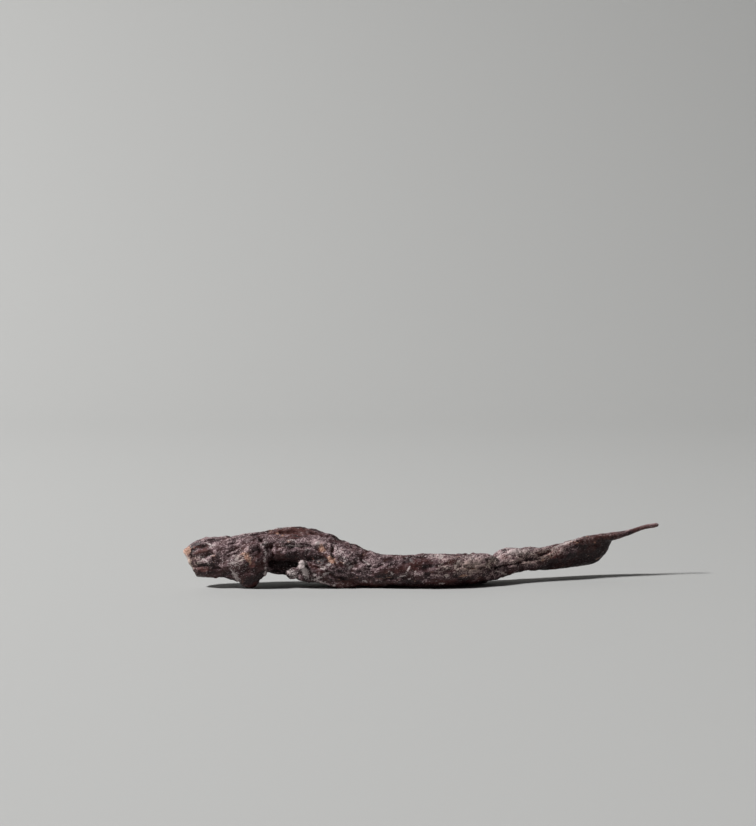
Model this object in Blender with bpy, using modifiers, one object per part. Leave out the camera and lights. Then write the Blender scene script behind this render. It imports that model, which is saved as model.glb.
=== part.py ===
"""One strip of venison jerky: dried meat fused from several muscle strands, lying on a table.

+X runs along the strip, +Y away from the viewer, +Z up. The origin is on the table, under the middle
of the strip's box. The strip leans on a knob at its left, a crumbled flap and its belly. Its right half
bends back, and there it rises off the table as a thin ribbon that ends in a wisp.
"""

import bpy
import numpy as np
from mathutils import Vector, kdtree, noise

MM = 0.001
NAME = "jerky_strip"

TRIANGLES = 9800
VOXEL = 0.5  # mm, the grid on which the strands fuse
BLEND = 0.85  # mm, how far the seams between strands are softened
RING_SIDES = 22
STATION_STEP = 1.6  # mm between the rings of a strand
CREASE_STEP = 1.0  # mm between the points of a crease
DOME_ANGLES = (30.0, 55.0, 75.0)  # degrees, the rings that close a strand's end
ROUNDNESS = 2.3  # a superellipse's power: 2 is an ellipse, and more is squarer

# Every strand is a list of stations in mm and degrees:
# x, y and z of its centre, half its depth, half its height, and its roll about its own line.
# A positive roll leans the top towards the viewer.
BODY = [
    (-78.6, -0.5, 10.1, 4.4, 5.0, 0),
    (-73.0, -0.4, 10.3, 5.7, 6.5, 0),
    (-66.5, -0.4, 10.5, 6.3, 6.7, 0),
    (-60.5, 1.2, 12.1, 6.0, 5.9, 0),
    (-54.5, 3.4, 13.1, 5.3, 5.1, 0),
    (-47.5, 4.4, 13.6, 5.2, 4.9, 0),
    (-40.0, 4.2, 13.3, 5.6, 5.1, 0),
    (-33.0, 3.0, 11.2, 6.4, 6.0, 0),
    (-25.5, 1.5, 7.9, 7.0, 6.9, 0),
    (-17.0, 0.5, 5.8, 7.2, 6.1, 0),
    (-7.0, 0.0, 5.3, 7.0, 5.7, 0),
    (4.0, -0.5, 5.6, 6.8, 6.0, 0),
    (14.1, 1.6, 5.4, 6.4, 5.5, 0),
    (22.8, 5.7, 5.7, 5.6, 4.9, 0),
    (26.4, 7.8, 5.3, 4.9, 3.9, 0),
    (31.1, 10.1, 5.3, 4.3, 2.8, 0),
    (38.9, 14.0, 5.6, 2.2, 1.5, 0),
]
RIBBON = [
    (24.0, 7.6, 5.8, 3.2, 2.2, 0),
    (26.5, 8.6, 6.4, 4.2, 2.4, 12),
    (28.9, 9.6, 7.4, 5.1, 2.9, 24),
    (33.7, 11.7, 7.9, 5.2, 2.8, 28),
    (39.9, 14.4, 7.6, 4.8, 3.3, 28),
    (47.1, 17.5, 7.3, 3.8, 3.9, 26),
    (54.3, 20.2, 8.0, 2.8, 4.6, 24),
    (61.0, 22.6, 8.6, 2.3, 5.2, 24),
    (65.3, 24.0, 10.7, 1.9, 4.1, 24),
    (68.3, 25.0, 13.1, 1.3, 1.8, 20),
]
RIM = [
    (32.6, 10.4, 9.7, 1.9, 1.5, 0),
    (38.5, 12.4, 9.2, 2.9, 2.5, -10),
    (44.0, 14.5, 8.5, 3.0, 3.2, -25),
    (49.2, 16.3, 8.9, 2.8, 3.8, -30),
    (54.1, 18.1, 10.9, 2.0, 2.9, -20),
    (59.9, 20.6, 13.1, 1.6, 1.7, 0),
    (64.5, 22.2, 14.0, 1.8, 1.5, 0),
    (70.6, 24.2, 14.5, 2.0, 1.5, 0),
    (75.6, 25.5, 15.5, 1.5, 1.1, 0),
    (79.2, 26.4, 16.6, 1.0, 0.9, 0),
    (82.7, 27.0, 17.6, 0.9, 0.9, 0),
    (86.4, 27.4, 18.1, 0.9, 0.9, 0),
]
CREST = [
    (-58.0, 4.4, 16.6, 1.6, 1.5, 0),
    (-52.0, 5.6, 17.2, 2.4, 1.9, 0),
    (-46.0, 6.2, 17.9, 2.7, 2.1, 0),
    (-40.0, 6.0, 17.6, 2.7, 1.9, 0),
    (-34.5, 5.0, 16.6, 2.5, 1.8, 0),
    (-28.0, 4.0, 13.8, 2.3, 1.5, 0),
    (-21.0, 3.0, 10.6, 2.0, 1.3, 0),
]
FOLD = [
    (-57.0, 0.4, 14.9, 1.7, 1.5, 0),
    (-49.0, 0.2, 15.5, 2.6, 1.6, 0),
    (-41.0, 0.2, 15.6, 2.9, 1.6, 0),
    (-34.0, -0.4, 14.8, 2.7, 1.6, 0),
    (-27.0, -1.2, 12.4, 2.2, 1.6, 0),
]
ROLL = [
    (-58.0, 0.6, 10.8, 3.2, 2.8, 0),
    (-50.5, 0.4, 11.5, 3.9, 2.7, 0),
    (-43.0, 0.2, 11.6, 4.0, 2.7, 0),
    (-36.0, -0.4, 11.0, 4.0, 3.2, 0),
    (-30.0, -1.0, 9.2, 4.2, 3.8, 0),
]
KNOB = [
    (-60.2, -1.2, 14.4, 4.5, 4.8, 0),
    (-59.5, -2.4, 11.0, 4.8, 5.5, 0),
    (-59.3, -3.0, 7.4, 4.7, 5.5, 0),
    (-59.6, -3.4, 4.0, 3.9, 4.5, 0),
    (-59.8, -3.5, 1.2, 2.6, 2.7, 0),
]
KNOB_LIP = [
    (-55.4, -3.9, 14.9, 1.3, 1.2, 0),
    (-54.5, -4.9, 12.0, 1.4, 1.3, 0),
    (-54.1, -5.2, 8.6, 1.3, 1.2, 0),
    (-54.7, -4.9, 5.2, 1.0, 1.0, 0),
]
SHOULDER = [
    (-73.0, -1.8, 9.3, 3.6, 4.2, 0),
    (-68.5, -2.9, 8.9, 4.1, 4.6, 0),
    (-64.0, -3.4, 7.8, 4.3, 5.2, 0),
    (-59.6, -3.2, 7.4, 4.2, 5.6, 0),
]
FLAP = [
    (-24.0, -1.2, 6.0, 4.6, 5.2, 0),
    (-30.0, -2.2, 6.2, 4.7, 5.0, 0),
    (-35.0, -2.9, 6.3, 4.1, 3.9, 0),
    (-39.5, -3.4, 6.0, 3.2, 2.9, 0),
    (-43.5, -3.8, 4.9, 2.4, 2.0, 0),
    (-46.4, -4.0, 4.9, 1.6, 1.4, 0),
]
SKIRT = [
    (-41.5, -3.2, 3.6, 1.9, 1.3, 0),
    (-35.0, -3.2, 3.2, 2.4, 1.4, 0),
    (-29.5, -3.0, 1.8, 2.8, 1.7, 0),
    (-24.0, -2.2, 1.1, 2.8, 1.6, 0),
]
FLAP_CURL = [
    (-41.4, -5.4, 8.8, 1.5, 1.4, 0),
    (-40.8, -6.1, 7.2, 1.4, 1.2, 0),
    (-40.0, -6.3, 5.4, 1.2, 1.1, 0),
]
UPPER_END = [
    (-82.2, -0.8, 12.2, 1.2, 1.0, 0),
    (-80.9, -0.6, 12.6, 1.9, 1.6, 0),
    (-79.0, -0.3, 13.0, 3.1, 2.6, 0),
    (-75.0, 0.2, 13.7, 4.4, 3.2, 0),
    (-69.0, 0.6, 14.1, 4.6, 3.2, 0),
    (-62.0, 1.2, 14.8, 4.0, 3.3, 0),
]
LOWER_END = [
    (-78.3, -0.8, 6.0, 3.4, 2.8, 0),
    (-74.0, -1.4, 6.1, 4.3, 2.8, 0),
    (-68.0, -1.6, 6.6, 4.4, 2.9, 0),
    (-62.5, -1.6, 6.9, 3.6, 2.9, 0),
]
END_RIB = [
    (-81.4, -1.2, 11.6, 1.5, 1.1, 0),
    (-80.4, -1.4, 9.8, 1.7, 1.1, 0),
    (-79.4, -1.6, 7.8, 1.9, 1.0, 0),
    (-78.6, -1.6, 5.8, 1.7, 1.0, 0),
]
TONGUE = [
    (-79.2, -4.0, 11.8, 0.9, 0.7, 0),
    (-76.6, -4.9, 12.7, 1.0, 0.8, 0),
    (-74.0, -5.4, 13.5, 0.9, 0.7, 0),
]
BACK_ROLL = [
    (-70.0, 4.0, 8.8, 2.2, 3.0, 0),
    (-60.0, 5.6, 8.6, 2.6, 4.2, 0),
    (-49.0, 6.8, 8.0, 2.7, 4.8, 0),
    (-37.0, 6.8, 7.6, 2.8, 5.0, 0),
    (-24.0, 5.6, 5.2, 3.3, 5.0, 0),
    (-9.0, 5.0, 4.4, 3.4, 5.0, 0),
    (7.0, 4.7, 4.6, 3.1, 4.8, 0),
    (21.2, 9.3, 6.1, 2.4, 2.9, 0),
    (32.6, 14.6, 6.9, 1.8, 2.1, 0),
]
# Each strand, and how round its two ends are: 0 is cut square and 1 is a full dome.
STRANDS = [
    (BODY, 0.15, 0.9),
    (RIBBON, 0.8, 0.7),
    (RIM, 1.0, 1.0),
    (CREST, 1.0, 1.0),
    (FOLD, 1.0, 1.0),
    (ROLL, 1.0, 1.0),
    (KNOB, 0.8, 0.55),
    (KNOB_LIP, 0.9, 0.9),
    (SHOULDER, 0.9, 0.7),
    (FLAP, 0.8, 0.6),
    (SKIRT, 0.8, 0.8),
    (FLAP_CURL, 0.9, 0.8),
    (UPPER_END, 0.7, 0.8),
    (LOWER_END, 0.2, 0.8),
    (END_RIB, 0.8, 0.7),
    (TONGUE, 0.8, 0.8),
    (BACK_ROLL, 1.0, 1.0),
]
# The line that the meat's fibres follow from end to end: body, then ribbon, then wisp.
GUIDE = BODY[:-2] + RIBBON[3:-1] + RIM[7:]

# Creases, each drawn on one side of the strip: that side, its depth and width in mm, and its points.
# A front or back crease lists x and z, and a top crease lists x and y.
CREASES = [
    ("front", 1.0, 0.7, [(-52.2, 14.2), (-52.0, 10.6), (-52.6, 6.2)]),
    ("front", 0.6, 0.6, [(-79.5, 7.6), (-74.0, 7.9), (-70.0, 7.0), (-67.5, 5.4)]),
    ("front", 0.8, 0.6, [(-79.3, 13.2), (-77.0, 14.1), (-75.2, 14.8)]),
    ("front", 0.6, 0.5, [(-75.8, 11.2), (-74.0, 11.6), (-72.0, 12.3)]),
    ("front", 0.6, 0.6, [(-70.0, 15.6), (-64.0, 15.9), (-57.5, 16.8)]),
    ("front", 0.9, 0.5, [(-30.6, 14.6), (-30.8, 12.2), (-29.6, 9.4)]),
    ("front", 0.8, 0.5, [(-38.0, 8.2), (-34.0, 7.0), (-30.5, 4.4), (-27.0, 3.2)]),
    ("front", 0.7, 0.5, [(-20.8, 9.8), (-16.6, 7.8), (-13.6, 8.3)]),
    ("front", 0.3, 0.6, [(-12.0, 3.8), (-3.0, 4.4), (5.0, 3.3)]),
    ("front", 0.3, 0.7, [(-6.0, 8.2), (2.0, 7.5), (9.0, 8.7)]),
    ("front", 0.5, 0.6, [(13.6, 7.9), (18.2, 7.2), (23.1, 6.4)]),
    ("front", 0.6, 0.7, [(27.0, 10.6), (25.0, 7.4), (23.7, 4.6)]),
    ("front", 1.0, 0.55, [(26.5, 6.4), (29.9, 6.9), (34.6, 7.3), (38.0, 8.0), (41.3, 8.1)]),
    ("front", 1.5, 0.6, [(42.0, 9.6), (44.4, 9.9), (46.6, 10.7)]),
    ("top", 0.4, 1.5, [(26.6, 0.8), (26.8, 6.9), (26.0, 12.4)]),
    ("top", 0.8, 0.7, [(-74.0, 2.0), (-64.0, 1.2), (-55.0, 2.6), (-44.0, 3.4), (-33.0, 2.0)]),
    ("top", 0.6, 0.7, [(-24.0, 1.4), (-12.0, 2.2), (0.0, 1.2), (12.0, 3.2)]),
    ("top", 0.6, 0.6, [(30.6, 12.2), (40.9, 16.0), (51.2, 19.7)]),
    ("back", 0.9, 0.7, [(-76.0, 11.5), (-64.0, 13.1), (-52.0, 14.7), (-38.0, 14.2), (-26.0, 11.0)]),
    ("back", 0.8, 0.7, [(-20.0, 3.5), (-6.0, 2.9), (8.0, 3.8), (22.3, 3.9)]),
    ("back", 0.6, 0.6, [(2.0, 8.9), (14.1, 8.9), (26.4, 8.6), (40.9, 7.4)]),
    ("back", 0.8, 0.6, [(-43.0, 8.7), (-40.0, 11.6), (-38.5, 15.4)]),
]
# Which way each side faces, and the two axes that its creases are drawn on.
SIDES = {
    "front": (np.array([0.0, -1.0, 0.0]), (0, 2)),
    "back": (np.array([0.0, 1.0, 0.0]), (0, 2)),
    "top": (np.array([0.0, 0.0, 1.0]), (0, 1)),
}

# The shrunken skin's relief: each kind's height, length along and width across the fibres in mm,
# how many finer copies of itself it carries, and the place in the noise where it is read.
LUMPS = (0.60, 8.0, 5.0, 2, 3.1)
WRINKLES = (0.45, 7.0, 2.6, 2, 17.7)
CROSS_FOLDS = (0.30, 2.6, 2.8, 2, 41.3)
CRUMBS = (0.95, 2.4, 2.2, 2, 7.9)
WANDER = (0.5, 3.0, 3.0, 2, 29.0)  # how far a crease strays from its drawn line
NOISE_LOSS = 0.8
NOISE_STEP = 2.1
WRINKLE_FLOOR = 0.10  # mm, how far a wrinkle's valley lies below the mean skin
FLAP_CENTRE = (-38.5, -5.0, 5.0)
FLAP_REACH = (9.0, 6.0, 5.0)  # the crumbs fade out over this far from the flap's centre
FLAP_CALM = 0.7  # the share of the other relief that the crumbs replace at the flap's centre
SWIRL = 0.018  # radians a mm that the fibres turn about the strip
# How much of its relief the skin keeps along x: the torn end and the thin ribbon are smoother, and the
# wisp is smoothest.
FADE_X = (-82.0, -73.0, 28.0, 44.0, 66.0, 77.0)
FADE_SHARES = (0.6, 1.0, 1.0, 0.55, 0.5, 0.15)

MEAT = (0.072, 0.042, 0.040, 1.0)
MEAT_ROUGHNESS = 0.62


def clear_scene():
    for obj in list(bpy.data.objects):
        bpy.data.objects.remove(obj, do_unlink=True)


def smooth_rows(stations, step):
    """Rows about one step apart on a Catmull-Rom curve through the stations, all columns alike."""
    rows = np.array(stations, float)
    padded = np.vstack([2 * rows[0] - rows[1], rows, 2 * rows[-1] - rows[-2]])
    found = []
    for i in range(1, len(padded) - 2):
        a, b, c, d = padded[i - 1 : i + 3]
        count = max(2, int(np.ceil(np.linalg.norm((c - b)[:3]) / step)))
        for t in np.arange(count) / count:
            straight = 2 * b + (c - a) * t
            bend = (2 * a - 5 * b + 4 * c - d) * t**2 + (3 * b - a - 3 * c + d) * t**3
            found.append(0.5 * (straight + bend))
    found.append(rows[-1])
    return np.array(found)


def unit(vectors):
    return vectors / np.linalg.norm(vectors, axis=-1, keepdims=True)


def frames_along(centres):
    """The tangent, depth axis and height axis at each point of a line."""
    tangent = unit(np.gradient(centres, axis=0))
    depth = unit(np.array([0.0, 1.0, 0.0]) - tangent[:, 1:2] * tangent)
    return tangent, depth, np.cross(tangent, depth)


def dome(row, way, roundness):
    """Copies of an end row that shrink and step outwards, from the row to the strand's tip."""
    angles = np.radians(DOME_ANGLES)
    rows = np.tile(row, (len(angles), 1))
    rows[:, :3] += np.outer(np.sin(angles), way) * roundness * 0.5 * (row[3] + row[4])
    rows[:, 3:5] *= np.cos(angles)[:, None]
    return rows


def strand_mesh(stations, start_roundness, end_roundness):
    """Points and faces of one closed strand: a loft through its unlike sections."""
    rows = smooth_rows(stations, STATION_STEP)
    tangent, depth, height = frames_along(rows[:, :3])
    start = dome(rows[0], -tangent[0], start_roundness)[::-1]
    end = dome(rows[-1], tangent[-1], end_roundness)
    rows = np.vstack([start, rows, end])
    extra = ((len(start), len(end)), (0, 0))
    depth = np.pad(depth, extra, mode="edge")
    height = np.pad(height, extra, mode="edge")

    turn = np.linspace(0.0, 2 * np.pi, RING_SIDES, endpoint=False)
    across = rows[:, 3:4] * np.sign(np.cos(turn)) * np.abs(np.cos(turn)) ** (2 / ROUNDNESS)
    up = rows[:, 4:5] * np.sign(np.sin(turn)) * np.abs(np.sin(turn)) ** (2 / ROUNDNESS)
    roll = np.radians(rows[:, 5:6])
    rolled_across = across * np.cos(roll) - up * np.sin(roll)
    rolled_up = across * np.sin(roll) + up * np.cos(roll)
    points = rows[:, None, :3] + rolled_across[..., None] * depth[:, None]
    points = points + rolled_up[..., None] * height[:, None]

    last = (len(rows) - 1) * RING_SIDES
    faces = [list(range(RING_SIDES))[::-1], list(range(last, last + RING_SIDES))]
    for ring in range(0, last, RING_SIDES):
        for k in range(RING_SIDES):
            beside = (k + 1) % RING_SIDES
            beyond = ring + RING_SIDES
            faces.append([ring + k, ring + beside, beyond + beside, beyond + k])
    return points.reshape(-1, 3), faces


def new_object(name, points, faces):
    mesh = bpy.data.meshes.new(name)
    mesh.from_pydata([Vector(p) for p in points], [], faces)
    obj = bpy.data.objects.new(name, mesh)
    bpy.context.scene.collection.objects.link(obj)
    return obj


def bake_modifiers(obj):
    """The object's mesh becomes what its modifiers make of it."""
    graph = bpy.context.evaluated_depsgraph_get()
    mesh = bpy.data.meshes.new_from_object(obj.evaluated_get(graph))
    obj.modifiers.clear()
    obj.data = mesh


def fused_strands():
    """All strands as one skin: their meshes laid into each other, then remeshed from a fine grid."""
    points = []
    faces = []
    for stations, start_roundness, end_roundness in STRANDS:
        more, sides = strand_mesh(stations, start_roundness, end_roundness)
        faces += [[len(points) + i for i in side] for side in sides]
        points += list(more)
    obj = new_object(NAME, points, faces)
    remesh = obj.modifiers.new("Fuse", "REMESH")
    remesh.mode = "VOXEL"
    remesh.voxel_size = VOXEL
    bake_modifiers(obj)
    return obj


def read_points(mesh):
    flat = np.empty(len(mesh.vertices) * 3, np.float32)
    mesh.vertices.foreach_get("co", flat)
    return flat.reshape(-1, 3).astype(float)


def write_points(mesh, points):
    mesh.vertices.foreach_set("co", points.astype(np.float32).ravel())
    mesh.update()


def read_normals(mesh):
    flat = np.empty(len(mesh.vertices) * 3, np.float32)
    mesh.vertex_normals.foreach_get("vector", flat)
    return flat.reshape(-1, 3).astype(float)


def relax(mesh, rounds):
    """Laplacian smoothing: each point moves halfway to the middle of its neighbours."""
    flat = np.empty(len(mesh.edges) * 2, np.int32)
    mesh.edges.foreach_get("vertices", flat)
    one, other = flat.reshape(-1, 2).T
    points = read_points(mesh)
    neighbours = np.bincount(flat, minlength=len(points))
    for _ in range(rounds):
        for axis in range(3):
            total = np.bincount(one, points[other, axis], len(points))
            total += np.bincount(other, points[one, axis], len(points))
            points[:, axis] = 0.5 * (points[:, axis] + total / neighbours)
    write_points(mesh, points)


def fibre_coordinates(points):
    """For each point, how far along the fibres it is and its two offsets across them."""
    line = smooth_rows([row[:3] for row in GUIDE], STATION_STEP)
    tangent, depth, height = frames_along(line)
    length = np.concatenate([[0.0], np.cumsum(np.linalg.norm(np.diff(line, axis=0), axis=1))])
    tree = kdtree.KDTree(len(line))
    for i, place in enumerate(line):
        tree.insert(place, i)
    tree.balance()
    nearest = np.array([tree.find(p)[1] for p in points])
    offset = points - line[nearest]
    along = length[nearest] + (offset * tangent[nearest]).sum(1)
    a = (offset * depth[nearest]).sum(1)
    b = (offset * height[nearest]).sum(1)
    turn = SWIRL * along
    across = a * np.cos(turn) - b * np.sin(turn)
    up = a * np.sin(turn) + b * np.cos(turn)
    return np.stack([along, across, up], axis=1)


def relief(places, kind):
    """Fractal noise of one kind, in mm about 0, at each place: along the fibres, then across them."""
    height, length, width, octaves, seed = kind
    scaled = places / (length, width, width) + (seed, 0.0, 0.0)
    return height * np.array([noise.fractal(p, NOISE_LOSS, NOISE_STEP, octaves) for p in scaled])


def distance_to_line(points, line):
    """How far each point of a plane lies from a polyline in it."""
    best = np.full(len(points), np.inf)
    for start, end in zip(line[:-1], line[1:]):
        way = end - start
        t = np.clip((points - start) @ way / (way @ way), 0.0, 1.0)
        best = np.minimum(best, np.linalg.norm(points - start - t[:, None] * way, axis=1))
    return best


def crease_depths(points, normals):
    """How deep the drawn creases cut at each point."""
    strayed = points + relief(points, WANDER)[:, None]
    cut = np.zeros(len(points))
    for side, depth, width, line in CREASES:
        facing, axes = SIDES[side]
        shown = np.sqrt(np.clip(normals @ facing, 0.0, 1.0))
        curve = smooth_rows([(*place, 0.0) for place in line], CREASE_STEP)[:, :2]
        gap = distance_to_line(strayed[:, axes], curve)
        cut = np.maximum(cut, depth * shown * np.exp(-((gap / width) ** 2)))
    return cut


def skin_relief(points, normals):
    """How far each point of the smooth strip moves along its normal, in mm."""
    places = fibre_coordinates(points)
    moved = relief(places, LUMPS) + relief(places, CROSS_FOLDS)
    moved += np.abs(relief(places, WRINKLES)) - WRINKLE_FLOOR
    near_flap = np.exp(-(((points - FLAP_CENTRE) / FLAP_REACH) ** 2).sum(1))
    moved += near_flap * (relief(points, CRUMBS) - FLAP_CALM * moved)
    moved -= crease_depths(points, normals)
    return moved * np.interp(points[:, 0], FADE_X, FADE_SHARES)


def settle(points):
    """Presses what would lie below the table flat against it, and puts the origin under the middle."""
    points[:, 2] = np.maximum(points[:, 2], 0.0)
    middle = 0.5 * (points.min(0) + points.max(0))
    return points - (middle[0], middle[1], 0.0)


def meat_material():
    material = bpy.data.materials.new("dried_meat")
    material.use_nodes = True
    shader = material.node_tree.nodes["Principled BSDF"]
    shader.inputs["Base Color"].default_value = MEAT
    shader.inputs["Roughness"].default_value = MEAT_ROUGHNESS
    shader.inputs["Metallic"].default_value = 0.0
    material.diffuse_color = MEAT
    return material


def thin_out(obj, triangles):
    """Leaves about this many triangles, with the most where the skin bends most."""
    obj.data.calc_loop_triangles()
    thinner = obj.modifiers.new("Thin out", "DECIMATE")
    thinner.use_collapse_triangulate = True
    thinner.ratio = triangles / len(obj.data.loop_triangles)
    bake_modifiers(obj)


def build_strip():
    strip = fused_strands()
    relax(strip.data, round(2.0 * (BLEND / VOXEL) ** 2))
    points = read_points(strip.data)
    normals = read_normals(strip.data)
    write_points(strip.data, points + normals * skin_relief(points, normals)[:, None])
    thin_out(strip, TRIANGLES)
    write_points(strip.data, settle(read_points(strip.data)) * MM)
    strip.data.materials.append(meat_material())
    strip.data.shade_smooth()
    return strip


def main():
    clear_scene()
    strip = build_strip()
    collection = bpy.data.collections.new("venison_jerky")
    bpy.context.scene.collection.children.link(collection)
    bpy.context.scene.collection.objects.unlink(strip)
    collection.objects.link(strip)


main()
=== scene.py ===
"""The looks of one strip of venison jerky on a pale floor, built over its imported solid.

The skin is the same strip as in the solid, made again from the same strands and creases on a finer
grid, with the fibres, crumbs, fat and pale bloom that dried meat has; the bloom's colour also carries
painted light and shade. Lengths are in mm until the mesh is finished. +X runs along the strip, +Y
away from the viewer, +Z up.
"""

import bpy
import numpy as np
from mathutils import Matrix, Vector, kdtree, noise

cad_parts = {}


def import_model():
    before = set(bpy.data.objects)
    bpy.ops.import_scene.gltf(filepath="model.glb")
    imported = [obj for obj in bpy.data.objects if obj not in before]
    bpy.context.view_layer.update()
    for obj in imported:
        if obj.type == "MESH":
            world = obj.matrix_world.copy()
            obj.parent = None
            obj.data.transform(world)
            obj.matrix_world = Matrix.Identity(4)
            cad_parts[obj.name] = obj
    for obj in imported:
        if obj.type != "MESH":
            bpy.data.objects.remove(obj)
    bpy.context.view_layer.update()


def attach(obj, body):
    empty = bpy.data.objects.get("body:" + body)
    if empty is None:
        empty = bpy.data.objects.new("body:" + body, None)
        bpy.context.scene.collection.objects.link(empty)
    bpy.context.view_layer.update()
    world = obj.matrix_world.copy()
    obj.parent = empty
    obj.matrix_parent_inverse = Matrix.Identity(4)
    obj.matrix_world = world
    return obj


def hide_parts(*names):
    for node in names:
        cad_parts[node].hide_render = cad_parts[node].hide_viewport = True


MM = 0.001
NAME = "jerky_skin"
NODE = "jerky_strip"
SLOT = "dried_meat"

VOXEL = 0.33  # mm, the grid on which the strands fuse
BLEND = 0.85  # mm, how far the seams between strands are softened
RING_SIDES = 22  # points round a strand's ring
STATION_STEP = 1.6  # mm between the rings of a strand
CREASE_STEP = 1.0  # mm between the points of a crease
DOME_ANGLES = (30.0, 55.0, 75.0)  # degrees, the rings that close a strand's end
ROUNDNESS = 2.3  # a superellipse's power: 2 is an ellipse, and more is squarer

# Every strand is a list of stations in mm and degrees:
# x, y and z of its centre, half its depth, half its height, and its roll about its own line.
# A positive roll leans the top towards the viewer.
BODY = [
    (-78.6, -0.5, 10.1, 4.4, 5.0, 0),
    (-73.0, -0.4, 10.3, 5.7, 6.5, 0),
    (-66.5, -0.4, 10.5, 6.3, 6.7, 0),
    (-60.5, 1.2, 12.1, 6.0, 5.9, 0),
    (-54.5, 3.4, 13.1, 5.3, 5.1, 0),
    (-47.5, 4.4, 13.6, 5.2, 4.9, 0),
    (-40.0, 4.2, 13.3, 5.6, 5.1, 0),
    (-33.0, 3.0, 11.2, 6.4, 6.0, 0),
    (-25.5, 1.5, 7.9, 7.0, 6.9, 0),
    (-17.0, 0.5, 5.8, 7.2, 6.1, 0),
    (-7.0, 0.0, 5.3, 7.0, 5.7, 0),
    (4.0, -0.5, 5.6, 6.8, 6.0, 0),
    (14.1, 1.6, 5.4, 6.4, 5.5, 0),
    (22.8, 5.7, 5.7, 5.6, 4.9, 0),
    (26.4, 7.8, 5.3, 4.9, 3.9, 0),
    (31.1, 10.1, 5.3, 4.3, 2.8, 0),
    (38.9, 14.0, 5.6, 2.2, 1.5, 0),
]
RIBBON = [
    (24.0, 7.6, 5.8, 3.2, 2.2, 0),
    (26.5, 8.6, 6.4, 4.2, 2.4, 12),
    (28.9, 9.6, 7.4, 5.1, 2.9, 24),
    (33.7, 11.7, 7.9, 5.2, 2.8, 28),
    (39.9, 14.4, 7.6, 4.8, 3.3, 28),
    (47.1, 17.5, 7.3, 3.8, 3.9, 26),
    (54.3, 20.2, 8.0, 2.8, 4.6, 24),
    (61.0, 22.6, 8.6, 2.3, 5.2, 24),
    (65.3, 24.0, 10.7, 1.9, 4.1, 24),
    (68.3, 25.0, 13.1, 1.3, 1.8, 20),
]
RIM = [
    (32.6, 10.4, 9.7, 1.9, 1.5, 0),
    (38.5, 12.4, 9.2, 2.9, 2.5, -10),
    (44.0, 14.5, 8.5, 3.0, 3.2, -25),
    (49.2, 16.3, 8.9, 2.8, 3.8, -30),
    (54.1, 18.1, 10.9, 2.0, 2.9, -20),
    (59.9, 20.6, 13.1, 1.6, 1.7, 0),
    (64.5, 22.2, 14.0, 1.8, 1.5, 0),
    (70.6, 24.2, 14.5, 2.0, 1.5, 0),
    (75.6, 25.5, 15.5, 1.5, 1.1, 0),
    (79.2, 26.4, 16.6, 1.0, 0.9, 0),
    (82.7, 27.0, 17.6, 0.9, 0.9, 0),
    (86.4, 27.4, 18.1, 0.9, 0.9, 0),
]
CREST = [
    (-58.0, 4.4, 16.6, 1.6, 1.5, 0),
    (-52.0, 5.6, 17.2, 2.4, 1.9, 0),
    (-46.0, 6.2, 17.9, 2.7, 2.1, 0),
    (-40.0, 6.0, 17.6, 2.7, 1.9, 0),
    (-34.5, 5.0, 16.6, 2.5, 1.8, 0),
    (-28.0, 4.0, 13.8, 2.3, 1.5, 0),
    (-21.0, 3.0, 10.6, 2.0, 1.3, 0),
]
FOLD = [
    (-57.0, 0.4, 14.9, 1.7, 1.5, 0),
    (-49.0, 0.2, 15.5, 2.6, 1.6, 0),
    (-41.0, 0.2, 15.6, 2.9, 1.6, 0),
    (-34.0, -0.4, 14.8, 2.7, 1.6, 0),
    (-27.0, -1.2, 12.4, 2.2, 1.6, 0),
]
ROLL = [
    (-58.0, 0.6, 10.8, 3.2, 2.8, 0),
    (-50.5, 0.4, 11.5, 3.9, 2.7, 0),
    (-43.0, 0.2, 11.6, 4.0, 2.7, 0),
    (-36.0, -0.4, 11.0, 4.0, 3.2, 0),
    (-30.0, -1.0, 9.2, 4.2, 3.8, 0),
]
KNOB = [
    (-60.2, -1.2, 14.4, 4.5, 4.8, 0),
    (-59.5, -2.4, 11.0, 4.8, 5.5, 0),
    (-59.3, -3.0, 7.4, 4.7, 5.5, 0),
    (-59.6, -3.4, 4.0, 3.9, 4.5, 0),
    (-59.8, -3.5, 1.2, 2.6, 2.7, 0),
]
KNOB_LIP = [
    (-55.4, -3.9, 14.9, 1.3, 1.2, 0),
    (-54.5, -4.9, 12.0, 1.4, 1.3, 0),
    (-54.1, -5.2, 8.6, 1.3, 1.2, 0),
    (-54.7, -4.9, 5.2, 1.0, 1.0, 0),
]
SHOULDER = [
    (-73.0, -1.8, 9.3, 3.6, 4.2, 0),
    (-68.5, -2.9, 8.9, 4.1, 4.6, 0),
    (-64.0, -3.4, 7.8, 4.3, 5.2, 0),
    (-59.6, -3.2, 7.4, 4.2, 5.6, 0),
]
FLAP = [
    (-24.0, -1.2, 6.0, 4.6, 5.2, 0),
    (-30.0, -2.2, 6.2, 4.7, 5.0, 0),
    (-35.0, -2.9, 6.3, 4.1, 3.9, 0),
    (-39.5, -3.4, 6.0, 3.2, 2.9, 0),
    (-43.5, -3.8, 4.9, 2.4, 2.0, 0),
    (-46.4, -4.0, 4.9, 1.6, 1.4, 0),
]
SKIRT = [
    (-41.5, -3.2, 3.6, 1.9, 1.3, 0),
    (-35.0, -3.2, 3.2, 2.4, 1.4, 0),
    (-29.5, -3.0, 1.8, 2.8, 1.7, 0),
    (-24.0, -2.2, 1.1, 2.8, 1.6, 0),
]
FLAP_CURL = [
    (-41.4, -5.4, 8.8, 1.5, 1.4, 0),
    (-40.8, -6.1, 7.2, 1.4, 1.2, 0),
    (-40.0, -6.3, 5.4, 1.2, 1.1, 0),
]
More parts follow.
